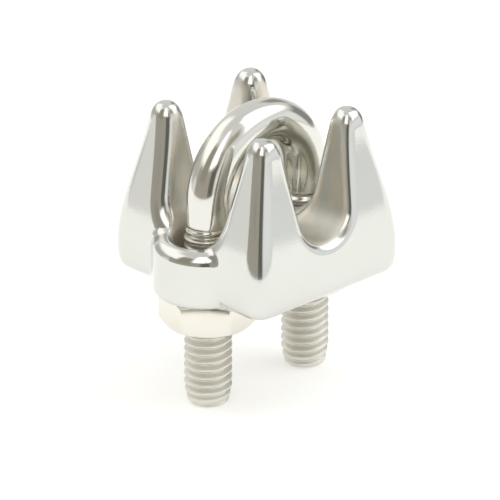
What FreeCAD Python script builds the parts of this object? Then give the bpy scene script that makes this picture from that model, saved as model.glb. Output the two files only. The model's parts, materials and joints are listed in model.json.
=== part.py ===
"""Wire rope clip for 5 mm rope: a four-horned saddle, an M4 U-bolt and its two hexagon nuts.

Millimetres, +Z up. The origin is on the axis of the rope seat, at the middle of its length. The rope runs
along Y. The U-bolt stands in the X-Z plane with its legs pointing down, and the nuts bear on the saddle's
underside. The whole clip looks the same when it is turned by half a turn about Z.
"""
import FreeCAD, Part

import math
import os

Vector = FreeCAD.Vector
ORIGIN = Vector(0, 0, 0)
X_AXIS, Y_AXIS, Z_AXIS = Vector(1, 0, 0), Vector(0, 1, 0), Vector(0, 0, 1)

# Rope seat and the heights of the saddle
ROPE_SEAT_RADIUS = 2.6  # for 5 mm rope
UNDERSIDE = -7.5  # flat underside, where the nuts bear
WIDEST = -4.25  # height at which the saddle's plan is largest
KNEE = -2.4  # the walls lean in more steeply above this height
HORN_TOP = 6.95

# Saddle plans: half length along X, half width along Y, corner radius
BOTTOM_PLAN = (8.0, 8.45, 1.7)
WIDEST_PLAN = (8.2, 8.65, 1.7)
KNEE_PLAN = (7.95, 8.42, 1.55)
TOP_PLAN = (5.86, 6.7, 0.95)

# Grooves that cross on the saddle and leave its four horns
ROPE_GROOVE_DRAFT = 8.5  # degrees that each side leans out
BOLT_GROOVE_RADIUS = 3.3
BOLT_GROOVE_AXIS = 0.35
BOLT_GROOVE_DRAFT = 8.9
HORN_EDGE_RADIUS = 0.9
HORN_TOP_RADIUS = 0.8
UNDERSIDE_RADIUS = 1.2

# Bosses around the bolt holes
LEG_SPACING = 10.95
BOSS_RADIUS = 4.2
BOSS_CENTRE = 5.9
BOSS_TOP = -3.05
BOSS_LIP_RADIUS = 1.0
HOLE_RADIUS = 2.3
HOLE_ENDS = (5.5, 6.2)  # each hole is a short slot along X, between these two centres

# U-bolt
SHANK_RADIUS = 1.75
LEG_END = -17.35
THREAD_TOP = -2.2
END_RADIUS = 1.62
END_TAPER = 1.6
END_ROUND = 0.25

# M4 x 0.7 thread
PITCH = 0.7
FLANK_ANGLE = 30  # degrees between a flank and the plane across the axis
BOLT_CREST = 1.95
BOLT_ROOT = 1.52
BOLT_CREST_FLAT = PITCH / 8
NUT_CREST = 1.66
NUT_ROOT = 2.04
NUT_ROOT_FLAT = 0.10
CUTTER_OVERLAP = 0.06  # how far a thread cutter reaches past the crests

# Nuts
NUT_FLATS = 7.0
NUT_HEIGHT = 2.9
NUT_FACE_RADIUS = 3.3  # flat ring inside each chamfer
NUT_CHAMFER = 30  # degrees
NUT_TURNS = {"nut_left": 12.5, "nut_right": 0}  # degrees from a corner pointing along X

PAST = 3.0  # how far a cutter reaches past the solid that it cuts
LEG_X = LEG_SPACING / 2


def tangent(degrees):
    return math.tan(math.radians(degrees))


def polar(radius, degrees, centre=ORIGIN):
    angle = math.radians(degrees)
    return centre + Vector(radius * math.cos(angle), radius * math.sin(angle), 0)


def one_solid(shape):
    """Merge the faces that lie in one surface and return the only solid."""
    shape = shape.removeSplitter()
    if len(shape.Solids) != 1:
        raise ValueError("expected one solid, found %d" % len(shape.Solids))
    return shape.Solids[0]


def rounded_plan(half_x, half_y, radius, height):
    """Wire of a rounded rectangle about the Z axis."""
    corners = []
    for sx, sy, start in ((1, 1, 0), (-1, 1, 90), (-1, -1, 180), (1, -1, 270)):
        centre = Vector(sx * (half_x - radius), sy * (half_y - radius), height)
        corners.append([polar(radius, start + turn, centre) for turn in (0, 45, 90)])
    edges = []
    for corner, following in zip(corners, corners[1:] + corners[:1]):
        edges.append(Part.Arc(*corner).toShape())
        edges.append(Part.LineSegment(corner[2], following[0]).toShape())
    return Part.Wire(edges)


def groove_cutter(radius, axis_height, draft, across):
    """A round-bottomed groove with sides that lean out, open upwards and at right angles to across."""
    lean = math.radians(draft)
    side = radius * math.cos(lean)
    side_height = axis_height - radius * math.sin(lean)
    mouth_height = HORN_TOP + PAST
    mouth = side + (mouth_height - side_height) * math.tan(lean)

    def at(out, height):
        return across * out + Z_AXIS * height

    left, right = at(-side, side_height), at(side, side_height)
    mouth_left, mouth_right = at(-mouth, mouth_height), at(mouth, mouth_height)
    wire = Part.Wire(
        [
            Part.Arc(left, at(0, axis_height - radius), right).toShape(),
            Part.LineSegment(right, mouth_right).toShape(),
            Part.LineSegment(mouth_right, mouth_left).toShape(),
            Part.LineSegment(mouth_left, left).toShape(),
        ]
    )
    along = across.cross(Z_AXIS)
    reach = max(WIDEST_PLAN[:2]) + PAST
    face = Part.Face(wire)
    face.translate(along * -reach)
    return face.extrude(along * 2 * reach)


def horned_block():
    """The saddle without its bosses: two walls, each with two tapered horns, on one base."""
    plans = ((BOTTOM_PLAN, UNDERSIDE), (WIDEST_PLAN, WIDEST), (KNEE_PLAN, KNEE), (TOP_PLAN, HORN_TOP))
    block = Part.makeLoft([rounded_plan(*plan, height) for plan, height in plans], True, False)
    block = block.cut(groove_cutter(ROPE_SEAT_RADIUS, 0, ROPE_GROOVE_DRAFT, X_AXIS))
    block = block.cut(groove_cutter(BOLT_GROOVE_RADIUS, BOLT_GROOVE_AXIS, BOLT_GROOVE_DRAFT, Y_AXIS))
    block = one_solid(block)

    def is_groove_edge(edge):
        middle = edge.CenterOfMass
        level = UNDERSIDE / 2 < middle.z < HORN_TOP - HORN_EDGE_RADIUS
        block_corner = abs(middle.x) > TOP_PLAN[0] - 0.3 and abs(middle.y) > TOP_PLAN[1] - 1
        seat_seam = abs(middle.x) < ROPE_SEAT_RADIUS and BOLT_GROOVE_RADIUS < abs(middle.y) < TOP_PLAN[1]
        return level and not block_corner and not (seat_seam and middle.z < 0)

    block = block.makeFillet(HORN_EDGE_RADIUS, [edge for edge in block.Edges if is_groove_edge(edge)])
    tops = [edge for edge in block.Edges if edge.CenterOfMass.z > HORN_TOP - 0.001]
    block = block.makeFillet(HORN_TOP_RADIUS, tops)
    feet = [edge for edge in block.Edges if edge.CenterOfMass.z < UNDERSIDE + 0.001]
    return block.makeFillet(UNDERSIDE_RADIUS, feet)


def boss(side):
    """The round lug at one end of the saddle, with a rounded lip at its top."""
    lug = Part.makeCylinder(BOSS_RADIUS, BOSS_TOP - UNDERSIDE, Vector(side * BOSS_CENTRE, 0, UNDERSIDE))
    lip = [edge for edge in lug.Edges if edge.CenterOfMass.z > BOSS_TOP - 0.001]
    return lug.makeFillet(BOSS_LIP_RADIUS, lip)


def bolt_hole(side):
    """The slot that one leg of the U-bolt passes through."""
    depth = BOSS_TOP - UNDERSIDE + 2 * PAST
    ends = [Vector(side * x, 0, UNDERSIDE - PAST) for x in HOLE_ENDS]
    slot = Part.makeBox(
        HOLE_ENDS[1] - HOLE_ENDS[0],
        2 * HOLE_RADIUS,
        depth,
        Vector(min(ends[0].x, ends[1].x), -HOLE_RADIUS, ends[0].z),
    )
    for end in ends:
        slot = slot.fuse(Part.makeCylinder(HOLE_RADIUS, depth, end))
    return one_solid(slot)


def saddle():
    casting = horned_block()
    for side in (-1, 1):
        casting = casting.fuse(boss(side))
    for side in (-1, 1):
        casting = casting.cut(bolt_hole(side))
    return one_solid(casting)


def turned(outline, axis_x=0.0):
    """Solid of revolution about a vertical axis, from (radius, height) points."""
    points = [Vector(axis_x + radius, 0, height) for radius, height in outline]
    face = Part.Face(Part.makePolygon(points + points[:1]))
    return face.revolve(Vector(axis_x, 0, 0), Z_AXIS, 360)


def cut_thread(blank, section, bottom, top):
    """Cut a right-handed helical groove about Z, turn by turn, as one long cutter would not cut cleanly.

    The section is two (radius, width) pairs. Its middle crosses the +Y side at the height bottom.
    """
    (inner, inner_width), (outer, outer_width) = section
    corners = [
        Vector(inner, 0, -inner_width / 2),
        Vector(outer, 0, -outer_width / 2),
        Vector(outer, 0, outer_width / 2),
        Vector(inner, 0, inner_width / 2),
    ]
    outline = Part.makePolygon(corners + corners[:1])
    one_turn = Part.makeHelix(PITCH, PITCH, outer).makePipeShell([outline], True, True)
    one_turn.rotate(ORIGIN, Z_AXIS, 90)
    for turn in range(math.ceil((top - bottom) / PITCH)):
        blank = blank.cut(one_turn.translated(Vector(0, 0, bottom + turn * PITCH)))
    return blank


# The bolt's grooves and the nut's grooves are half a pitch apart, so the thread is in mesh as modelled.
BOLT_THREAD_START = LEG_END - 2 * PITCH
NUT_THREAD_START = BOLT_THREAD_START + PITCH / 2


def threaded_leg():
    """The left leg below the bend: plain shank, rolled thread and tapered end."""
    shoulder = BOLT_CREST - SHANK_RADIUS
    outline = (
        (0, 0),
        (SHANK_RADIUS, 0),
        (SHANK_RADIUS, THREAD_TOP),
        (BOLT_CREST, THREAD_TOP - shoulder),
        (BOLT_CREST, LEG_END + END_TAPER),
        (END_RADIUS, LEG_END + END_ROUND),
        (END_RADIUS - END_ROUND, LEG_END),
        (0, LEG_END),
    )
    leg = turned(outline)
    mouth = BOLT_CREST + CUTTER_OVERLAP
    root_flat = PITCH - BOLT_CREST_FLAT - 2 * (BOLT_CREST - BOLT_ROOT) * tangent(FLANK_ANGLE)
    mouth_width = root_flat + 2 * (mouth - BOLT_ROOT) * tangent(FLANK_ANGLE)
    groove = ((BOLT_ROOT, root_flat), (mouth, mouth_width))
    leg = cut_thread(leg, groove, BOLT_THREAD_START, THREAD_TOP - PITCH)
    leg.translate(Vector(-LEG_X, 0, 0))
    return leg.Solids[0]


def opposite(shape):
    """The same shape at the other leg."""
    return shape.rotated(ORIGIN, Z_AXIS, 180)


def u_bolt():
    section = Part.Face(Part.Wire(Part.makeCircle(SHANK_RADIUS, Vector(LEG_X, 0, 0), Z_AXIS)))
    bend = section.revolve(ORIGIN, Y_AXIS * -1, 180)
    leg = threaded_leg()
    return one_solid(bend.fuse(leg).fuse(opposite(leg)))


def nut(turn):
    """A threaded nut on the left leg, chamfered on both faces. turn is its hexagon's angle in degrees."""
    corner_radius = NUT_FLATS / 2 / math.cos(math.radians(30))
    bottom = UNDERSIDE - NUT_HEIGHT
    corners = [polar(corner_radius, turn + 60 * i, Vector(0, 0, bottom)) for i in range(6)]
    hexagon = Part.Face(Part.makePolygon(corners + corners[:1])).extrude(Z_AXIS * NUT_HEIGHT)
    widest = corner_radius + 0.5
    drop = (widest - NUT_FACE_RADIUS) * tangent(NUT_CHAMFER)
    blank = turned(
        (
            (0, bottom),
            (NUT_FACE_RADIUS, bottom),
            (widest, bottom + drop),
            (widest, UNDERSIDE - drop),
            (NUT_FACE_RADIUS, UNDERSIDE),
            (0, UNDERSIDE),
        )
    )
    body = hexagon.common(blank)
    body = body.cut(Part.makeCylinder(NUT_CREST, NUT_HEIGHT, Vector(0, 0, bottom)))
    mouth = NUT_CREST - CUTTER_OVERLAP
    mouth_width = NUT_ROOT_FLAT + 2 * (NUT_ROOT - mouth) * tangent(FLANK_ANGLE)
    groove = ((mouth, mouth_width), (NUT_ROOT, NUT_ROOT_FLAT))
    turns_below = math.floor((bottom - NUT_THREAD_START) / PITCH) - 1
    body = cut_thread(body, groove, NUT_THREAD_START + turns_below * PITCH, UNDERSIDE + PITCH)
    body.translate(Vector(-LEG_X, 0, 0))
    return one_solid(body)


def main():
    os.makedirs("parts", exist_ok=True)
    pieces = {
        "saddle": saddle(),
        "u_bolt": u_bolt(),
        "nut_left": nut(NUT_TURNS["nut_left"]),
        "nut_right": opposite(nut(NUT_TURNS["nut_right"])),
    }
    for node, shape in pieces.items():
        print(node, shape.isValid(), len(shape.Solids), "%.2f mm3" % shape.Volume)
        shape.exportStep("parts/%s.step" % node)


if __name__ == "__main__":
    main()
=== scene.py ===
"""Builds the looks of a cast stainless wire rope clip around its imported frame.

Every piece is rebuilt as a smooth mesh in metres, in the frame's own axes: the polished casting as one
blended surface, the U-bolt as a bar that follows its path and carries a rolled thread, and the two nuts.
"""
import json
import math

import bmesh
import bpy
import numpy as np
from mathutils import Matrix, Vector


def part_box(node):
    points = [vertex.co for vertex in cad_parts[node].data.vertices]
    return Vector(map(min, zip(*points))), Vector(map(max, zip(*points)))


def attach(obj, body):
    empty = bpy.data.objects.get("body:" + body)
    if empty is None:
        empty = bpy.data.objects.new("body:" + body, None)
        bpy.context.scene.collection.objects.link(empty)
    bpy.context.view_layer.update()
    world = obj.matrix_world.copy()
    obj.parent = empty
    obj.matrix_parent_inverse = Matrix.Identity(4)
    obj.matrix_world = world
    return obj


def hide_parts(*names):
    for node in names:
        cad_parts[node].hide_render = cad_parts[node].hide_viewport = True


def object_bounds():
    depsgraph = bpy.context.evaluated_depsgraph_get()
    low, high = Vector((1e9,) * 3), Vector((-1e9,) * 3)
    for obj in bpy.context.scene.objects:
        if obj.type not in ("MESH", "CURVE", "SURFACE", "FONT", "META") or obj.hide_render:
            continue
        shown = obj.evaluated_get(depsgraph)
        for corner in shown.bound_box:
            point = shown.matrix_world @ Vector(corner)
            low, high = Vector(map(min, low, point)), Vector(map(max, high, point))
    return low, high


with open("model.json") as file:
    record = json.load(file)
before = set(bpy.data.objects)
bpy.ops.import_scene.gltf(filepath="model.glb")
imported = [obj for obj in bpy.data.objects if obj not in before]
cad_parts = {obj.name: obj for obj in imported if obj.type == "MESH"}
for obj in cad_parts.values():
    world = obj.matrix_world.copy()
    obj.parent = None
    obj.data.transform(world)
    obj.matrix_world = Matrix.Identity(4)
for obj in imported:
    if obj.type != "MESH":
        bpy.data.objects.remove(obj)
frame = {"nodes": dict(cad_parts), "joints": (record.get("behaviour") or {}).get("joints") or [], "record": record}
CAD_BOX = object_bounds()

bl_info = {
    "name": "Wire rope clip",
    "version": (1, 0, 0),
    "blender": (4, 5, 0),
    "location": "View3D > Sidebar > Rope clip",
    "description": "Makes a polished four-horned wire rope clip and its studio",
    "category": "Add Mesh",
}

MM = 0.001

# Sizes read from the frame, in millimetres
BOX = {node: [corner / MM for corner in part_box(node)] for node in frame["nodes"]}
JOINTS = {joint["name"]: joint for joint in frame["joints"]}
LEG_X = -JOINTS["nut_left_turn"]["pos_m"][0] / MM
SEAT_RADIUS = frame["record"]["mounts"][0]["dims"]["r_mm"]
UNDERSIDE, HORN_TOP = BOX["saddle"][0].z, BOX["saddle"][1].z
LEG_END = BOX["u_bolt"][0].z
BEND_TOP = BOX["u_bolt"][1].z
THREAD_RADIUS = BOX["u_bolt"][1].y
SHANK_RADIUS = BEND_TOP - LEG_X
NUT_BOTTOM, NUT_TOP = BOX["nut_left"][0].z, BOX["nut_left"][1].z


# ---------------------------------------------------------------------------------------------------------
# Settings
# ---------------------------------------------------------------------------------------------------------
def millimetres(name, description, default):
    return bpy.props.FloatProperty(name=name, description=description, default=default, min=0.0, precision=3)


def degrees(name, description, default):
    return bpy.props.FloatProperty(
        name=name, description=description, default=math.radians(default), subtype="ANGLE", unit="ROTATION"
    )


def linear(hex_colour):
    """Linear RGBA of an sRGB hex colour."""
    channels = [int(hex_colour[i : i + 2], 16) / 255 for i in (0, 2, 4)]
    return [c / 12.92 if c <= 0.04045 else ((c + 0.055) / 1.055) ** 2.4 for c in channels] + [1.0]


def colour(name, description, hex_colour):
    return bpy.props.FloatVectorProperty(
        name=name, description=description, default=linear(hex_colour)[:3], size=3, subtype="COLOR", min=0, max=1
    )


class SaddleSettings(bpy.types.PropertyGroup):
    """Sizes of the casting, in millimetres."""

    voxel: millimetres("Mesh spacing", "Distance between the points of the casting's surface", 0.135)
    horn_edge: millimetres("Horn edge", "Radius along the rims of the rope groove", 0.9)
    horn_tip: millimetres("Horn tip", "Radius of the dome on each horn", 2.4)
    tip_flare: degrees("Tip flare", "How fast each dome widens below its middle", 32.0)
    tip_edge: millimetres("Tip edge", "Radius where each dome meets the sides of its horn", 0.7)
    channel_edge: millimetres("Channel edge", "Radius along the edges between the channel and the ends", 1.35)
    foot: millimetres("Foot", "Radius along the bottom edges of the walls", 1.2)
    rope_draft: degrees("Rope groove draft", "How far each side of the rope groove leans out", 8.0)
    channel_radius: millimetres("Channel radius", "Radius of the channel that the U-bolt stands in", 3.3)
    channel_axis: millimetres("Channel axis", "Height of the channel's axis above the rope's axis", 0.35)
    channel_draft: degrees("Channel draft", "How far each side of the channel leans out", 8.2)
    boss_radius: millimetres("Boss radius", "Radius of the round boss at each end", 4.2)
    boss_centre: millimetres("Boss centre", "Distance of each boss from the middle", 5.9)
    boss_drop: millimetres("Boss drop", "Depth of the bosses' tops below the rope's axis", 2.65)
    boss_lip: millimetres("Boss lip", "Radius of the bosses' outer lip", 1.15)
    hole_radius: millimetres("Hole radius", "Radius of the bolt holes", 2.3)
    hole_lip: millimetres("Hole lip", "Radius at the mouths of the bolt holes", 0.55)
    blend: millimetres("Blend", "Radius of the hollow where each boss meets the walls", 0.5)
    steel: colour("Steel", "Reflected colour of the polished casting", "DADBD6")
    blasted: colour("Blasted steel", "Reflected colour of the patches that the wheel doesn't reach", "E4DDCF")
    # The bore colour is lighter than the polished steel: painted light that lifts the shade in the bolt holes, on
    # top of their rough skin.
    bore_steel_painted_light: colour("Bore steel", "Reflected colour of the rough bolt holes", "ECE6DA")


class BoltSettings(bpy.types.PropertyGroup):
    """Sizes of the U-bolt, in millimetres."""

    pitch: millimetres("Pitch", "Distance between thread crests", 0.7)
    root: millimetres("Thread root", "Radius at the bottom of the thread", 1.52)
    thread_top: millimetres("Thread top", "Depth of the thread's upper end below the rope's axis", 1.7)
    taper: millimetres("End taper", "Length of the taper at each leg's end", 1.6)
    end_radius: millimetres("End radius", "Radius of each leg's end", 1.62)
    end_round: millimetres("End round", "Radius of the edge round each leg's end", 0.25)
    steel: colour("Steel", "Reflected colour of the polished bar", "E0DFD8")
    thread_steel: colour("Thread steel", "Reflected colour of the rolled thread", "E4E2DA")


class NutSettings(bpy.types.PropertyGroup):
    """Sizes of the nuts, in millimetres."""

    flats: millimetres("Across flats", "Distance between opposite flats", 7.0)
    face_radius: millimetres("Face radius", "Radius of the flat ring inside each chamfer", 3.3)
    bore: millimetres("Bore radius", "Radius of the thread's crests inside the nut", 1.66)
    bore_root: millimetres("Bore root", "Radius of the thread's roots inside the nut", 2.04)
    corner: millimetres("Corner", "Radius along the hexagon's six upright edges", 0.22)
    edge: millimetres("Edge", "Radius along the nut's other edges", 0.07)
    steel: colour("Steel", "Reflected colour of the nuts", "E6E3D9")


class StudioSettings(bpy.types.PropertyGroup):
    """The floor, the light tent and the camera."""

    azimuth: degrees("Azimuth", "Direction that the camera looks from", -44.4)
    elevation: degrees("Elevation", "How far the camera looks down", 24.0)
    distance: millimetres("Distance", "Distance of the camera", 780.0)
    width: millimetres("View width", "Width of the view at the object", 40.19)
    target: bpy.props.FloatVectorProperty(
        name="Target",
        description="Point that the camera looks at",
        default=(-0.0019, -0.00117, -0.004855),
        size=3,
        precision=5,
        subtype="TRANSLATION",
        unit="LENGTH",
    )
    floor_radius: millimetres("Floor radius", "Radius of the round white floor", 150.0)
    floor_back: millimetres("Floor back", "How far the floor's middle lies behind the object", 40.0)
    floor: colour("Floor", "Colour of the floor", "FBFBFA")
    floor_glow: bpy.props.FloatProperty(
        name="Floor glow", description="Light from under the white floor", default=0.24, min=0
    )


# ---------------------------------------------------------------------------------------------------------
# Small tools
# ---------------------------------------------------------------------------------------------------------
def settings(name):
    return getattr(bpy.context.scene, "rope_clip_" + name)


def new_piece(name, mesh, materials, smooth=True):
    """Link a mesh as one piece at the origin."""
    piece = bpy.data.objects.new(name, mesh)
    bpy.context.scene.collection.objects.link(piece)
    for material in materials:
        mesh.materials.append(material)
    if smooth:
        mesh.shade_smooth()
    return piece


def fit(piece, body, node):
    """Let a piece stand for a node of the frame and move with its body."""
    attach(piece, body)
    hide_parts(node)


def add_node(tree, kind, inputs=(), **attributes):
    """Add one node with its settings, its input values and its incoming links."""
    node = tree.nodes.new(kind)
    for name, value in attributes.items():
        setattr(node, name, value)
    for socket, value in dict(inputs).items():
        if isinstance(value, bpy.types.NodeSocket):
            tree.links.new(value, node.inputs[socket])
        else:
            node.inputs[socket].default_value = value
    return node


# ---------------------------------------------------------------------------------------------------------
# Materials
# ---------------------------------------------------------------------------------------------------------
# Sizes of the patterns in bare steel, in millimetres
CLOUD = 5.0  # slow drift of colour and waviness left by the buffing wheel
MARK = 0.6  # polishing marks, drawn coarser than real ones so that they show
PATCH = 1.1  # patches that the wheel missed in the grooves
DRIFT = 0.95  # the darker end of the drift, as a share of the steel's colour
BORE_ROUGHNESS = 0.8  # as-cast skin in the bolt holes


def steel_material(name, reflected, roughness, grain_mm, waviness, scratches, rough_skins=None):
    """Bare metal: a slow drift of colour and gloss, hand-polishing marks and a slightly wavy skin.

    rough_skins, on the casting, holds the colours of its two unpolished skins: the grooves' and the holes'. The
    holes' colour is lighter than the polished steel: partly their rough skin, partly painted light that lifts the
    shade deep in the holes.
    """
    material = bpy.data.materials.new(name)
    material.use_nodes = True
    tree = material.node_tree
    tree.nodes.clear()
    place = add_node(tree, "ShaderNodeTexCoord").outputs["Object"]
    cloud = add_node(
        tree, "ShaderNodeTexNoise", {"Vector": place, "Scale": 1 / (CLOUD * MM), "Detail": 2.0, "Roughness": 0.5}
    )
    turned = add_node(tree, "ShaderNodeMapping", {"Vector": place, "Scale": (1, 1, 7), "Rotation": (0.5, 0.9, 0.2)})
    marks = add_node(
        tree,
        "ShaderNodeTexNoise",
        {"Vector": turned.outputs[0], "Scale": 1 / (MARK * MM), "Detail": 4.0, "Roughness": 0.65},
    )
    grain = add_node(
        tree, "ShaderNodeTexNoise", {"Vector": place, "Scale": 1 / (grain_mm * MM), "Detail": 3.0, "Roughness": 0.6}
    )
    tint = add_node(
        tree,
        "ShaderNodeMix",
        {"Factor": cloud.outputs["Fac"], 6: [c * DRIFT for c in reflected] + [1], 7: list(reflected) + [1]},
        data_type="RGBA",
    )
    gloss = add_node(
        tree,
        "ShaderNodeMapRange",
        {
            "Value": marks.outputs["Fac"],
            "From Min": 0.35,
            "From Max": 0.75,
            "To Min": roughness * 0.8,
            "To Max": roughness * 1.5,
        },
    )
    shine, face = gloss.outputs[0], tint.outputs[2]
    if rough_skins:
        # The blasted skin of the casting is left where the wheel can't reach. It is rubbed bright in upright
        # patches.
        blasted, bore = [list(skin_colour) + [1] for skin_colour in rough_skins]
        covered = add_node(tree, "ShaderNodeAttribute", attribute_name="unpolished").outputs["Fac"]
        coarse = add_node(
            tree, "ShaderNodeMapRange", {"Value": grain.outputs["Fac"], "To Min": 0.3, "To Max": 0.55}
        )
        shine = add_node(tree, "ShaderNodeMix", {"Factor": covered, 2: shine, 3: coarse.outputs[0]}).outputs[0]
        upright = add_node(tree, "ShaderNodeMapping", {"Vector": place, "Scale": (1, 1, 0.3)})
        patches = add_node(
            tree,
            "ShaderNodeTexNoise",
            {"Vector": upright.outputs[0], "Scale": 1 / (PATCH * MM), "Detail": 3.0, "Roughness": 0.55},
        )
        missed = add_node(
            tree, "ShaderNodeMapRange", {"Value": patches.outputs["Fac"], "From Min": 0.4, "From Max": 0.62}
        )
        rubbed = add_node(tree, "ShaderNodeMath", {0: covered, 1: missed.outputs[0]}, operation="MULTIPLY")
        face = add_node(
            tree, "ShaderNodeMix", {"Factor": rubbed.outputs[0], 6: face, 7: blasted}, data_type="RGBA"
        ).outputs[2]
        # The bolt holes keep the rough, scattering skin of the mould. Their colour is set lighter than the polished
        # steel, which is painted light that lifts the shade deep in the holes.
        bore_skin_and_painted_light = add_node(tree, "ShaderNodeAttribute", attribute_name="bore").outputs["Fac"]
        shine = add_node(tree, "ShaderNodeMix", {"Factor": bore_skin_and_painted_light, 2: shine, 3: BORE_ROUGHNESS}).outputs[0]
        face = add_node(tree, "ShaderNodeMix", {"Factor": bore_skin_and_painted_light, 6: face, 7: bore}, data_type="RGBA").outputs[2]
    wavy = add_node(tree, "ShaderNodeBump", {"Height": cloud.outputs["Fac"], "Distance": waviness * MM})
    scratched = add_node(
        tree,
        "ShaderNodeBump",
        {"Height": marks.outputs["Fac"], "Distance": scratches * MM, "Normal": wavy.outputs[0]},
    )
    grained = add_node(
        tree,
        "ShaderNodeBump",
        {"Height": grain.outputs["Fac"], "Distance": scratches * 0.6 * MM, "Normal": scratched.outputs[0]},
    )
    shader = add_node(
        tree,
        "ShaderNodeBsdfPrincipled",
        {"Metallic": 1.0, "Base Color": face, "Roughness": shine, "Normal": grained.outputs[0]},
    )
    add_node(tree, "ShaderNodeOutputMaterial", {"Surface": shader.outputs[0]})
    return material


# ---------------------------------------------------------------------------------------------------------
# The casting, as one blended surface
# ---------------------------------------------------------------------------------------------------------
def round_meet(a, b, radius):
    """Where two solids overlap, with a rounded outer edge."""
    edge = np.hypot(np.maximum(a + radius, 0), np.maximum(b + radius, 0))
    return np.minimum(np.maximum(a, b), -radius) + edge


def round_join(a, b, radius):
    """Two solids joined, with a rounded hollow between them."""
    hollow = np.hypot(np.maximum(radius - a, 0), np.maximum(radius - b, 0))
    return np.maximum(np.minimum(a, b), radius) - hollow


def groove_depth(across, height, radius, draft):
    """Distance outside a round-bottomed groove whose sides lean out."""
    cosine, sine = math.cos(draft), math.sin(draft)
    beside = across * cosine - height * sine - radius
    return np.where(across * sine + height * cosine < 0, np.hypot(across, height) - radius, beside)


def groove_side(height, radius, draft):
    """Half width of such a groove at a height above its axis."""
    return (radius + height * math.sin(draft)) / math.cos(draft)


WALL_END = 6.5  # where the bosses begin to stand clear of the walls, in millimetres from the middle
INNER_BLEND = 0.3  # hollow between wall and boss inside the channel
SLOT = 0.35  # half of the extra length of each bolt hole, towards and away from the middle
SLOT_SHIFT = 0.05  # how far the slot's middle lies inside the boss's centre

# Plan of the walls at five heights: half length, half width and corner radius. The lowest is the underside.
PLAN_HEIGHTS = (UNDERSIDE, -4.25, -2.4, 2.3, HORN_TOP)
PLAN_SIZES = ((8.0, 8.2, 7.95, 6.82, 5.84), (8.45, 8.635, 8.4, 7.42, 6.68), (1.7, 1.7, 1.55, 1.25, 1.0))


def plan_curve(sizes):
    """The smooth curve that passes through one size at the five heights."""
    return np.polynomial.Polynomial.fit(PLAN_HEIGHTS, sizes, 4)


def casting_field(s):
    """Function of x, y and z in millimetres that is negative inside the casting and zero on its skin."""
    half_x, half_y, corner = [plan_curve(sizes) for sizes in PLAN_SIZES]
    tip_z = HORN_TOP - s.horn_tip
    tip_x = (half_x(tip_z) + groove_side(tip_z, SEAT_RADIUS, s.rope_draft)) / 2
    tip_y = (half_y(tip_z) + groove_side(tip_z - s.channel_axis, s.channel_radius, s.channel_draft)) / 2

    def field(x, y, z):
        x, y = np.abs(x), np.abs(y)
        radius = corner(z)
        out_x, out_y = x - half_x(z) + radius, y - half_y(z) + radius
        walls = np.hypot(np.maximum(out_x, 0), np.maximum(out_y, 0))
        walls = walls + np.minimum(np.maximum(out_x, out_y), 0) - radius
        walls = round_meet(walls, UNDERSIDE - z, s.foot)
        walls = round_meet(walls, -groove_depth(x, z, SEAT_RADIUS, s.rope_draft), s.horn_edge)
        channel = groove_depth(y, z - s.channel_axis, s.channel_radius, s.channel_draft)
        walls = round_meet(walls, -channel, s.channel_edge)
        dome = groove_depth(np.hypot(x - tip_x, y - tip_y), tip_z - z, s.horn_tip, s.tip_flare)
        walls = round_meet(walls, dome, s.tip_edge)
        boss = round_meet(np.hypot(x - s.boss_centre, y) - s.boss_radius, z + s.boss_drop, s.boss_lip)
        boss = round_meet(boss, UNDERSIDE - z, s.hole_lip)
        outside = np.clip((x - WALL_END) / 2, 0, 1)
        body = round_join(walls, boss, INNER_BLEND + (s.blend - INNER_BLEND) * outside)
        # The hollow's rounding would stand proud of the flat underside.
        body = np.maximum(body, UNDERSIDE - z)
        past = np.maximum(np.abs(x - s.boss_centre + SLOT_SHIFT) - SLOT, 0)
        hole = np.hypot(past, y) - s.hole_radius
        return round_meet(body, -hole, s.hole_lip)

    return field


def skin(field, low, high, spacing):
    """Vertices, quads and normals of the surface where a field is zero, found on a grid of cells."""
    axes = [np.arange(a, b + spacing, spacing) for a, b in zip(low, high)]
    value = field(*np.meshgrid(*axes, indexing="ij"))
    inside = value < 0
    cells = tuple(n - 1 for n in value.shape)
    total, count = np.zeros(cells + (3,)), np.zeros(cells)
    for axis in range(3):
        others = [i for i in range(3) if i != axis]
        start = [slice(None)] * 3
        end = [slice(None)] * 3
        start[axis], end[axis] = slice(0, -1), slice(1, None)
        a, b = value[tuple(start)], value[tuple(end)]
        crossing = (a < 0) != (b < 0)
        share = np.where(crossing, a / np.where(crossing, a - b, 1), 0)
        for first in (0, 1):
            for second in (0, 1):
                window = [slice(None)] * 3
                window[others[0]] = slice(first, first + cells[others[0]])
                window[others[1]] = slice(second, second + cells[others[1]])
                here = crossing[tuple(window)]
                count += here
                total[..., axis] += share[tuple(window)] * here
                total[..., others[0]] += first * here
                total[..., others[1]] += second * here
    active = count > 0
    index = np.full(cells, -1)
    index[active] = np.arange(active.sum())
    corner = np.stack(np.nonzero(active), axis=1)
    points = np.array(low) + (corner + total[active] / count[active][:, None]) * spacing
    quads = []
    for axis in range(3):
        u, v = [i for i in range(3) if i != axis]
        start = [slice(1, -1)] * 3
        end = [slice(1, -1)] * 3
        start[axis], end[axis] = slice(0, -1), slice(1, None)
        a, b = inside[tuple(start)], inside[tuple(end)]
        for leaving in (True, False):
            edge = np.stack(np.nonzero((a if leaving else b) & ~(b if leaving else a)), axis=1)
            edge[:, [u, v]] += 1
            ring = []
            for du, dv in ((-1, -1), (0, -1), (0, 0), (-1, 0)):
                cell = edge.copy()
                cell[:, u] += du
                cell[:, v] += dv
                ring.append(index[tuple(cell.T)])
            if leaving == (axis == 1):
                ring.reverse()
            quads.append(np.stack(ring, axis=1))
    quads = np.concatenate(quads)
    points, normals = settle(field, points)
    return points, quads, normals


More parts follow.
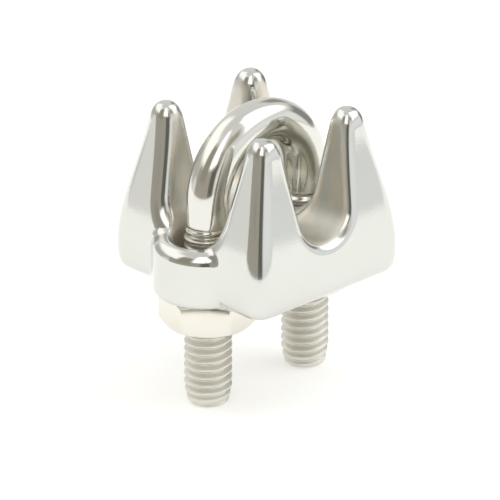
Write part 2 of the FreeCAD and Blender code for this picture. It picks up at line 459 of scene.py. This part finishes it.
def slope(field, points):
    """Value and gradient of a field at some points."""
    step = 1e-3
    x, y, z = points.T
    across = [field(x + step, y, z) - field(x - step, y, z)]
    across.append(field(x, y + step, z) - field(x, y - step, z))
    across.append(field(x, y, z + step) - field(x, y, z - step))
    return field(x, y, z), np.stack(across, axis=1) / (2 * step)


def settle(field, points):
    """Move points onto the exact surface and return them with its normals."""
    for _ in range(4):
        value, gradient = slope(field, points)
        steep = np.maximum((gradient**2).sum(axis=1), 0.2)
        points = points - gradient * (value / steep)[:, None]
    gradient = slope(field, points)[1]
    return points, gradient / np.linalg.norm(gradient, axis=1)[:, None]


SKIN_DEPTH = 0.22  # distance from a groove's surface at which the satin skin has faded out
SKIN_FADE = 0.16
BORE_DEPTH = 0.5  # how far the dull skin reaches past the bolt hole's wall
BORE_FADE = 0.3
TOP_FADE = 0.5  # height and length over which the polished boss tops take over from the channel


def out_of_reach(s, points):
    """How far each point is out of the wheel's reach, in grooves and holes together and in holes alone: 0 to 1."""
    x, y, z = np.abs(points[:, 0]), np.abs(points[:, 1]), points[:, 2]
    rope = np.abs(groove_depth(x, z, SEAT_RADIUS, s.rope_draft))
    channel = np.abs(groove_depth(y, z - s.channel_axis, s.channel_radius, s.channel_draft))
    above_boss = np.clip((z + s.boss_drop + TOP_FADE) / TOP_FADE, 0, 1)
    past_wall = np.clip((x - WALL_END) / TOP_FADE, 0, 1)
    grooves = np.clip((SKIN_DEPTH - np.minimum(rope, channel + above_boss * past_wall)) / SKIN_FADE, 0, 1)
    from_hole = np.hypot(x - s.boss_centre, y) - s.hole_radius
    bore = np.clip((BORE_DEPTH - from_hole) / BORE_FADE, 0, 1)
    return np.maximum(grooves, bore), bore


class ROPECLIP_OT_casting(bpy.types.Operator):
    """Make the polished casting: two horned walls, the rope seat and a bored boss at each end"""

    bl_idname = "rope_clip.casting"
    bl_label = "Casting"

    def execute(self, context):
        s = settings("saddle")
        low = [BOX["saddle"][0][i] - 2 * s.voxel for i in range(3)]
        high = [BOX["saddle"][1][i] + 2 * s.voxel for i in range(3)]
        points, quads, normals = skin(casting_field(s), low, high, s.voxel)
        mesh = bpy.data.meshes.new("saddle_casting")
        mesh.from_pydata((points * MM).tolist(), [], quads.tolist())
        mesh.validate()
        # Investment-cast 316 stainless, buffed by hand: a bright mirror that wavers a little, with soft satin greys
        # in the grooves and a dull, rough skin in the bolt holes, where the buffing wheel can't go. The holes' skin
        # is given a colour lighter than the steel, which is painted light against their shade.
        steel = steel_material(
            "mirror_polished_cast_stainless", s.steel, 0.09, 0.25, 0.010, 0.0012, (s.blasted, s.bore_steel_painted_light)
        )
        piece = new_piece("saddle_casting", mesh, [steel])
        mesh.normals_split_custom_set_from_vertices(normals.tolist())
        # The holes' share carries both their rough skin and their lighter colour, which is painted light.
        for name, amount in zip(("unpolished", "bore"), out_of_reach(s, points)):
            mesh.attributes.new(name, "FLOAT", "POINT").data.foreach_set("value", amount)
        fit(piece, "saddle", "saddle")
        return {"FINISHED"}


# ---------------------------------------------------------------------------------------------------------
# The U-bolt, as a bar that follows its path
# ---------------------------------------------------------------------------------------------------------
BAR_COLUMNS = 72  # points round the bar
TURN_ROWS = 16  # rings of points in each turn of the thread
RUN_OUT = 1.4  # turns over which the thread's upper end fades out
# Profile of the rolled thread: share of half a turn and share of the thread's height
THREAD_PROFILE = ((0.15, 0.0), (0.5, 0.48), (0.86, 1.0))


def bar_tree(sizes, polished, threaded):
    """Nodes that bend a round bar into a U and press the thread into both of its legs."""
    tree = bpy.data.node_groups.new("threaded_u_bar", "GeometryNodeTree")
    tree.interface.new_socket("Geometry", in_out="OUTPUT", socket_type="NodeSocketGeometry")
    for name, value in sizes.items():
        socket = tree.interface.new_socket(name, in_out="INPUT", socket_type="NodeSocketFloat")
        socket.default_value = value
    size = add_node(tree, "NodeGroupInput").outputs

    # The path: up one leg, round half a circle and down the other leg.
    left = add_node(tree, "ShaderNodeMath", {0: size["Leg X"], 1: -1.0}, operation="MULTIPLY").outputs[0]
    corners = add_node(tree, "GeometryNodeIndexSwitch", data_type="VECTOR")
    while len(corners.index_switch_items) < 4:
        corners.index_switch_items.new()
    tree.links.new(add_node(tree, "GeometryNodeInputIndex").outputs[0], corners.inputs["Index"])
    high = size["Leg X"]
    path = ((left, size["Leg End"]), (left, high), (size["Leg X"], high), (size["Leg X"], size["Leg End"]))
    for item, (x, z) in enumerate(path):
        corner = add_node(tree, "ShaderNodeCombineXYZ", {"X": x, "Z": z})
        tree.links.new(corner.outputs[0], corners.inputs[item + 1])
    line = add_node(tree, "GeometryNodeMeshLine", {"Count": 4})
    placed = add_node(
        tree, "GeometryNodeSetPosition", {"Geometry": line.outputs[0], "Position": corners.outputs[0]}
    )
    wire = add_node(tree, "GeometryNodeMeshToCurve", {"Mesh": placed.outputs[0]})
    bent = add_node(
        tree,
        "GeometryNodeFilletCurve",
        {"Curve": wire.outputs[0], "Count": 400, "Radius": size["Leg X"], "Limit Radius": True},
        mode="POLY",
    )
    spacing = add_node(tree, "ShaderNodeMath", {0: size["Pitch"], 1: TURN_ROWS}, operation="DIVIDE")
    even = add_node(
        tree, "GeometryNodeResampleCurve", {"Curve": bent.outputs[0], "Length": spacing.outputs[0]}, mode="LENGTH"
    )
    section = add_node(
        tree, "GeometryNodeCurvePrimitiveCircle", {"Resolution": BAR_COLUMNS, "Radius": size["Shank Radius"]}
    )
    bar = add_node(
        tree,
        "GeometryNodeCurveToMesh",
        {"Curve": even.outputs[0], "Profile Curve": section.outputs[0], "Fill Caps": True},
    )

    # Every point's place from its own leg's end. The right leg is the left one turned by half a turn.
    place = add_node(tree, "GeometryNodeInputPosition").outputs[0]
    where = add_node(tree, "ShaderNodeSeparateXYZ", {0: place}).outputs
    side = add_node(tree, "ShaderNodeMath", {0: where["X"]}, operation="SIGN").outputs[0]
    leg_x = add_node(tree, "ShaderNodeMath", {0: side, 1: size["Leg X"]}, operation="MULTIPLY").outputs[0]
    foot = add_node(tree, "ShaderNodeCombineXYZ", {"X": leg_x, "Z": size["Leg End"]}).outputs[0]
    local = add_node(tree, "ShaderNodeVectorMath", {0: place, 1: foot}, operation="SUBTRACT").outputs[0]
    turned = add_node(tree, "ShaderNodeVectorMath", {0: local, "Scale": side}, operation="SCALE").outputs[0]
    across = add_node(tree, "ShaderNodeSeparateXYZ", {0: turned}).outputs
    height = add_node(tree, "ShaderNodeSeparateXYZ", {0: local}).outputs["Z"]

    # Turns of the thread below this point. The groove's middle passes a whole number of turns.
    angle = add_node(tree, "ShaderNodeMath", {0: across["Y"], 1: across["X"]}, operation="ARCTAN2").outputs[0]
    part = add_node(
        tree, "ShaderNodeMath", {0: angle, 1: -1 / math.tau, 2: -0.25}, operation="MULTIPLY_ADD"
    ).outputs[0]
    turns = add_node(tree, "ShaderNodeMath", {0: height, 1: size["Pitch"]}, operation="DIVIDE").outputs[0]
    phase = add_node(tree, "ShaderNodeMath", {0: turns, 1: part}, operation="ADD").outputs[0]
    wave = add_node(tree, "ShaderNodeMath", {0: phase, 1: 0.5}, operation="PINGPONG").outputs[0]
    twice = add_node(tree, "ShaderNodeMath", {0: wave, 1: 2.0}, operation="MULTIPLY").outputs[0]
    ridge = add_node(tree, "ShaderNodeFloatCurve", {"Value": twice})
    shape = ridge.mapping.curves[0].points
    shape[0].location, shape[1].location = (0, 0), (1, 1)
    for share, rise in THREAD_PROFILE:
        shape.new(share, rise)
    ridge.mapping.update()
    thread = add_node(
        tree,
        "ShaderNodeMapRange",
        {"Value": ridge.outputs[0], "To Min": size["Root Radius"], "To Max": size["Crest Radius"]},
    )
    thread_end = add_node(
        tree, "ShaderNodeMath", {0: size["Thread Top"], 1: size["Leg End"]}, operation="SUBTRACT"
    ).outputs[0]
    fade_start = add_node(
        tree, "ShaderNodeMath", {0: size["Pitch"], 1: -RUN_OUT, 2: thread_end}, operation="MULTIPLY_ADD"
    ).outputs[0]
    faded = add_node(
        tree,
        "ShaderNodeMapRange",
        {
            "Value": height,
            "From Min": fade_start,
            "From Max": thread_end,
            "To Min": thread.outputs[0],
            "To Max": size["Shank Radius"],
        },
    )
    taper = add_node(
        tree,
        "ShaderNodeMapRange",
        {"Value": height, "From Max": size["Taper"], "To Min": size["End Radius"], "To Max": size["Crest Radius"]},
    )
    tapered = add_node(
        tree, "ShaderNodeMath", {0: faded.outputs[0], 1: taper.outputs[0]}, operation="MINIMUM"
    ).outputs[0]
    # The end's edge is rounded off.
    edge = add_node(
        tree, "ShaderNodeMapRange", {"Value": height, "From Max": size["End Round"], "To Min": 1, "To Max": 0}
    )
    bevel = add_node(tree, "ShaderNodeMath", {0: edge.outputs[0], 1: 2.5}, operation="POWER").outputs[0]
    loss = add_node(tree, "ShaderNodeMath", {0: bevel, 1: size["End Round"]}, operation="MULTIPLY").outputs[0]
    radius = add_node(tree, "ShaderNodeMath", {0: tapered, 1: loss}, operation="SUBTRACT").outputs[0]
    growth = add_node(tree, "ShaderNodeMath", {0: radius, 1: size["Shank Radius"]}, operation="DIVIDE").outputs[0]
    change = add_node(tree, "ShaderNodeMath", {0: growth, 1: 1.0}, operation="SUBTRACT").outputs[0]
    outward = add_node(tree, "ShaderNodeVectorMath", {0: local, 1: (1, 1, 0)}, operation="MULTIPLY").outputs[0]
    push = add_node(tree, "ShaderNodeVectorMath", {0: outward, "Scale": change}, operation="SCALE").outputs[0]
    on_thread = add_node(tree, "ShaderNodeMath", {0: height, 1: thread_end}, operation="LESS_THAN").outputs[0]
    cut = add_node(
        tree, "GeometryNodeSetPosition", {"Geometry": bar.outputs[0], "Selection": on_thread, "Offset": push}
    )
    smooth = add_node(tree, "GeometryNodeSetShadeSmooth", {"Geometry": cut.outputs[0]})
    real = add_node(tree, "GeometryNodeRealizeInstances", {"Geometry": smooth.outputs[0]})
    whole = add_node(tree, "GeometryNodeSetMaterial", {"Geometry": real.outputs[0], "Material": polished})
    below = add_node(tree, "ShaderNodeMath", {0: height, 1: fade_start}, operation="LESS_THAN").outputs[0]
    legs = add_node(
        tree,
        "GeometryNodeSetMaterial",
        {"Geometry": whole.outputs[0], "Selection": below, "Material": threaded},
    )
    add_node(tree, "NodeGroupOutput", {"Geometry": legs.outputs[0]})
    return tree


def baked(name, tree):
    """Run a node tree on an empty mesh and return the result as a plain mesh."""
    holder = bpy.data.objects.new(name + "_holder", bpy.data.meshes.new(name + "_holder"))
    bpy.context.scene.collection.objects.link(holder)
    modifier = holder.modifiers.new("shape", "NODES")
    modifier.node_group = tree
    for item in tree.interface.items_tree:
        if item.in_out == "INPUT":
            modifier[item.identifier] = item.default_value
    depsgraph = bpy.context.evaluated_depsgraph_get()
    mesh = bpy.data.meshes.new_from_object(holder.evaluated_get(depsgraph), depsgraph=depsgraph)
    mesh.name = name
    holder.modifiers.remove(modifier)
    bpy.data.objects.remove(holder)
    return mesh


class ROPECLIP_OT_bolt(bpy.types.Operator):
    """Make the U-bolt: a polished round bar with a rolled thread on both legs"""

    bl_idname = "rope_clip.bolt"
    bl_label = "U-bolt"

    def execute(self, context):
        s = settings("bolt")
        # Drawn stainless bar, buffed after bending: clean mirror stripes that run along the bar.
        polished = steel_material("polished_stainless_bar", s.steel, 0.10, 0.2, 0.012, 0.0010)
        # Rolled thread, left as it came from the dies: soft grey turns with no sharp reflections.
        threaded = steel_material("rolled_stainless_thread", s.thread_steel, 0.42, 0.08, 0.004, 0.0030)
        sizes = {
            "Leg X": LEG_X,
            "Shank Radius": SHANK_RADIUS,
            "Crest Radius": THREAD_RADIUS,
            "Root Radius": s.root,
            "Pitch": s.pitch,
            "Leg End": LEG_END,
            "Thread Top": -s.thread_top,
            "Taper": s.taper,
            "End Radius": s.end_radius,
            "End Round": s.end_round,
        }
        tree = bar_tree({name: size * MM for name, size in sizes.items()}, polished, threaded)
        mesh = baked("u_bolt_bar", tree)
        for face in mesh.polygons:
            face.use_smooth = len(face.vertices) == 4
        piece = new_piece("u_bolt_bar", mesh, [], smooth=False)
        fit(piece, "u_bolt", "u_bolt")
        return {"FINISHED"}


def outward(mesh):
    """Turn every face of a closed mesh outwards."""
    bm = bmesh.new()
    bm.from_mesh(mesh)
    bmesh.ops.remove_doubles(bm, verts=bm.verts, dist=1e-6)
    bmesh.ops.recalc_face_normals(bm, faces=bm.faces)
    bm.to_mesh(mesh)
    bm.free()


# ---------------------------------------------------------------------------------------------------------
# The nuts
# ---------------------------------------------------------------------------------------------------------
FLAT_COLUMNS = 12
CORNER_COLUMNS = 4
BORE_ROWS = 16  # rows of points in each turn of the nut's thread
CHAMFER = math.radians(30)  # slope of the hexagon's chamfers
MOUTH = 0.12  # how far the mouth of the bore is wider than its root
BORE_START = 0.42  # depth at which the thread begins
LEAD_IN = 0.25  # height over which the thread grows to its full depth


def hexagon(s, turn):
    """Points around a hexagon with rounded corners, one list of (angle, radius) for a whole turn."""
    points = []
    inner = (s.flats / 2 - s.corner) / math.cos(math.pi / 6)
    for side in range(6):
        at = turn + side * math.pi / 3
        centre = Vector((inner * math.cos(at), inner * math.sin(at)))
        for i in range(CORNER_COLUMNS + 1):
            a = at + (i / CORNER_COLUMNS - 0.5) * math.pi / 3
            points.append(centre + s.corner * Vector((math.cos(a), math.sin(a))))
        start = points[-1]
        following = at + math.pi / 3
        a = following - math.pi / 6
        end = Vector((inner * math.cos(following), inner * math.sin(following)))
        end = end + s.corner * Vector((math.cos(a), math.sin(a)))
        for i in range(1, FLAT_COLUMNS):
            points.append(start.lerp(end, i / FLAT_COLUMNS))
    return np.array([math.atan2(p.y, p.x) for p in points]), np.array([p.length for p in points])


def nut_mesh(s, pitch, name, centre_x, turn, thread_turn):
    """A chamfered, threaded hexagon nut as one closed ring of rows."""
    angle, hex_radius = hexagon(s, turn)
    low, high = NUT_BOTTOM, NUT_TOP
    lean = math.tan(CHAMFER)
    rows = []

    def add(radius, height):
        rows.append((np.broadcast_to(radius, angle.shape), np.broadcast_to(height, angle.shape)))

    drop = (hex_radius - s.face_radius) * lean
    bore_mouth = s.bore_root + MOUTH

    def edge(radius, height, away_in, away_out):
        """Three rows that round an edge off; the two directions point along its faces."""
        for share_in, share_out in ((1.0, 0.0), (0.42, 0.42), (0.0, 1.0)):
            add(
                radius + s.edge * (share_in * away_in[0] + share_out * away_out[0]),
                height + s.edge * (share_in * away_in[1] + share_out * away_out[1]),
            )

    slant = Vector((1, lean)).normalized()
    edge(bore_mouth, low, (-0.7, 0.7), (1, 0))
    edge(s.face_radius, low, (-1, 0), (slant.x, slant.y))
    edge(hex_radius, low + drop, (-slant.x, -slant.y), (0, 1))
    edge(hex_radius, high - drop, (0, -1), (-slant.x, slant.y))
    edge(s.face_radius, high, (slant.x, -slant.y), (-1, 0))
    edge(bore_mouth, high, (1, 0), (-0.7, -0.7))
    bore_low, bore_high = low + BORE_START, high - BORE_START
    count = math.ceil((bore_high - bore_low) / pitch * BORE_ROWS)
    for i in range(count + 1):
        height = bore_high + (bore_low - bore_high) * i / count
        phase = (height - LEG_END) / pitch - 0.5 - (angle - thread_turn - math.pi / 2) / (2 * math.pi)
        wave = np.abs(phase - np.floor(phase) - 0.5)
        groove = np.clip((wave - 0.125) / 0.3, 0, 1)
        mouth = np.clip(min(height - bore_low, bore_high - height) / LEAD_IN, 0, 1)
        radius = s.bore + (s.bore_root - s.bore) * (1 - (1 - groove) * mouth)
        add(radius, height)
    points = []
    for radius, height in rows:
        x = centre_x + radius * np.cos(angle)
        y = radius * np.sin(angle)
        points.append(np.stack([x, y, height + 0 * x], axis=1))
    around = len(angle)
    quads = []
    for i in range(len(rows)):
        for j in range(around):
            a, b = i * around + j, i * around + (j + 1) % around
            c, d = [(k + around) % (around * len(rows)) for k in (b, a)]
            quads.append((a, b, c, d))
    mesh = bpy.data.meshes.new(name)
    mesh.from_pydata((np.concatenate(points) * MM).tolist(), [], quads)
    outward(mesh)
    return mesh


# Each nut's node, its leg's side and how far its hexagon is turned, in degrees
NUTS = (("nut_left", -1, 12.5), ("nut_right", 1, 0.0))


class ROPECLIP_OT_nuts(bpy.types.Operator):
    """Make the two hexagon nuts under the bosses"""

    bl_idname = "rope_clip.nuts"
    bl_label = "Nuts"

    def execute(self, context):
        s = settings("nut")
        pitch = settings("bolt").pitch
        # Cold-formed stainless nut, tumbled bright: slightly warm, slightly hazy flats.
        steel = steel_material("polished_stainless_nut", s.steel, 0.16, 0.15, 0.004, 0.0016)
        for node, side, turn in NUTS:
            thread_turn = 0.0 if side < 0 else math.pi
            mesh = nut_mesh(s, pitch, node + "_hexagon", side * LEG_X, math.radians(turn), thread_turn)
            piece = new_piece(node + "_hexagon", mesh, [steel])
            mesh.set_sharp_from_angle(angle=math.radians(40))
            fit(piece, node, node)
        return {"FINISHED"}


# ---------------------------------------------------------------------------------------------------------
# The studio
# ---------------------------------------------------------------------------------------------------------
# The tent's panels, in degrees from the camera's side: azimuth and elevation of the middle, half width, half
# height, softness of the edges, brightness and warmth. Later panels lie over earlier ones.
PANELS = (
    ("ceiling", 0, 90, 200, 22, 8, 0.78, 0.01),
    ("left_wall", -108, 43, 42, 18, 7, 1.4, 0.01),
    ("left_low", -112, 9, 27, 11, 5, 0.56, 0.02),
    ("right_low", 75, 6, 55, 12, 8, 1.0, -0.01),
    ("right_box", 96, 52, 37, 27, 4, 1.8, 0.0),
    ("right_back_gap", 132, 5, 16, 13, 5, 0.30, 0.02),
    ("back_gap", 161, 25, 10, 12, 4, 0.35, 0.03),
    ("opening", -36, -1, 48, 25, 4, 0.42, 0.07),
    ("left_gap", -47, 32, 17, 23, 5, 0.34, 0.08),
    ("right_gap", 13, 26, 9, 13, 5, 0.38, 0.10),
    ("right_gap_top", 34, 44, 16, 10, 5, 0.42, 0.10),
    ("doorway", 4, 2, 12, 20, 4, 0.15, 0.06),
    ("left_edge", -90, -2, 9, 8, 3, 0.92, 0.01),
    ("front_box", -11, 50, 15, 25, 4, 1.8, 0.0),
)


TENT = (0.82, 0.82, 0.81, 1)  # light of the tent's walls between the panels
BACKDROP = (1.1, 1.1, 1.1, 1)  # just past white
SENSOR = 36  # width of the camera's sensor in millimetres


def studio_world(s):
    """Soft white tent with two bright panels, and a dim room behind the opening that the camera looks through."""
    world = bpy.data.worlds.new("white_tent")
    bpy.context.scene.world = world
    world.use_nodes = True
    tree = world.node_tree
    tree.nodes.clear()
    look = add_node(tree, "ShaderNodeTexCoord").outputs["Generated"]
    turned = add_node(
        tree, "ShaderNodeVectorRotate", {"Vector": look, "Angle": -s.azimuth}, rotation_type="Z_AXIS"
    ).outputs[0]
    parts = add_node(tree, "ShaderNodeSeparateXYZ", {0: turned}).outputs
    toward = add_node(tree, "ShaderNodeMath", {0: parts["Y"], 1: -1.0}, operation="MULTIPLY").outputs[0]
    azimuth = add_node(tree, "ShaderNodeMath", {0: parts["X"], 1: toward}, operation="ARCTAN2").outputs[0]
    elevation = add_node(tree, "ShaderNodeMath", {0: parts["Z"]}, operation="ARCSINE").outputs[0]
    light = add_node(tree, "ShaderNodeRGB").outputs[0]
    light.default_value = TENT
    for name, azimuth_0, elevation_0, half_width, half_height, softness, power, warmth in PANELS:
        masks = []
        for angle, middle, half in ((azimuth, azimuth_0, half_width), (elevation, elevation_0, half_height)):
            away = add_node(tree, "ShaderNodeMath", {0: angle, 1: math.radians(middle)}, operation="SUBTRACT")
            size = add_node(tree, "ShaderNodeMath", {0: away.outputs[0]}, operation="ABSOLUTE")
            fade = {
                "Value": size.outputs[0],
                "From Min": math.radians(half - softness),
                "From Max": math.radians(half + softness),
                "To Min": 1.0,
                "To Max": 0.0,
            }
            masks.append(add_node(tree, "ShaderNodeMapRange", fade, interpolation_type="SMOOTHSTEP").outputs[0])
        both = add_node(tree, "ShaderNodeMath", {0: masks[0], 1: masks[1]}, operation="MULTIPLY").outputs[0]
        tone = (power * (1 + warmth), power, power * (1 - 2 * warmth), 1)
        panel = add_node(tree, "ShaderNodeMix", {"Factor": both, 6: light, 7: tone}, data_type="RGBA", label=name)
        light = panel.outputs[2]
    tent = add_node(tree, "ShaderNodeBackground", {"Color": light})
    # The bare view past the floor is plain white, like the floor.
    backdrop = add_node(tree, "ShaderNodeBackground", {"Color": BACKDROP})
    direct = add_node(tree, "ShaderNodeLightPath").outputs["Is Camera Ray"]
    seen = add_node(tree, "ShaderNodeMixShader", {0: direct, 1: tent.outputs[0], 2: backdrop.outputs[0]})
    add_node(tree, "ShaderNodeOutputWorld", {"Surface": seen.outputs[0]})


class ROPECLIP_OT_stage(bpy.types.Operator):
    """Make the pale floor, the soft light and the camera"""

    bl_idname = "rope_clip.stage"
    bl_label = "Stage"

    def execute(self, context):
        s = settings("studio")
        scene = context.scene
        scene.view_settings.view_transform = "Standard"
        studio_world(s)
        bm = bmesh.new()
        rim = bmesh.ops.create_circle(bm, cap_ends=True, segments=96, radius=s.floor_radius * MM)["verts"]
        behind = -s.floor_back * MM * Vector((math.sin(s.azimuth), -math.cos(s.azimuth), 0))
        bmesh.ops.translate(bm, verts=rim, vec=behind + Vector((0, 0, CAD_BOX[0].z)))
        mesh = bpy.data.meshes.new("studio_floor")
        bm.to_mesh(mesh)
        bm.free()
        # Matt white paper lit through from below: an even white with only a faint shadow.
        paper = bpy.data.materials.new("matt_white_paper")
        paper.use_nodes = True
        shader = paper.node_tree.nodes["Principled BSDF"]
        shader.inputs["Base Color"].default_value = list(s.floor) + [1.0]
        shader.inputs["Roughness"].default_value = 0.95
        shader.inputs["Emission Color"].default_value = (1, 1, 1, 1)
        shader.inputs["Emission Strength"].default_value = s.floor_glow
        new_piece("studio_floor", mesh, [paper])
        data = bpy.data.cameras.new("camera")
        data.sensor_width = SENSOR
        data.lens = SENSOR * s.distance / s.width
        data.clip_start, data.clip_end = 0.05, 20
        camera = bpy.data.objects.new("camera", data)
        flat = math.cos(s.elevation)
        back = Vector((math.sin(s.azimuth) * flat, -math.cos(s.azimuth) * flat, math.sin(s.elevation)))
        camera.location = Vector(s.target) + back * s.distance * MM
        camera.rotation_euler = back.to_track_quat("Z", "Y").to_euler()
        scene.collection.objects.link(camera)
        scene.camera = camera
        return {"FINISHED"}


class ROPECLIP_PT_panel(bpy.types.Panel):
    """Lists the clip's pieces"""

    bl_label = "Wire rope clip"
    bl_idname = "ROPECLIP_PT_panel"
    bl_space_type = "VIEW_3D"
    bl_region_type = "UI"
    bl_category = "Rope clip"

    def draw(self, context):
        for operator in OPERATORS:
            self.layout.operator(operator.bl_idname)


GROUPS = {"saddle": SaddleSettings, "bolt": BoltSettings, "nut": NutSettings, "studio": StudioSettings}
OPERATORS = (ROPECLIP_OT_stage, ROPECLIP_OT_casting, ROPECLIP_OT_bolt, ROPECLIP_OT_nuts)


def register():
    for group in GROUPS.values():
        bpy.utils.register_class(group)
    for operator in OPERATORS:
        bpy.utils.register_class(operator)
    bpy.utils.register_class(ROPECLIP_PT_panel)
    for name, group in GROUPS.items():
        setattr(bpy.types.Scene, "rope_clip_" + name, bpy.props.PointerProperty(type=group))


def unregister():
    for name in GROUPS:
        delattr(bpy.types.Scene, "rope_clip_" + name)
    bpy.utils.unregister_class(ROPECLIP_PT_panel)
    for operator in reversed(OPERATORS):
        bpy.utils.unregister_class(operator)
    for group in reversed(GROUPS.values()):
        bpy.utils.unregister_class(group)


def main():
    register()
    bpy.ops.rope_clip.stage()
    bpy.ops.rope_clip.casting()
    bpy.ops.rope_clip.bolt()
    bpy.ops.rope_clip.nuts()


if __name__ == "__main__":
    main()
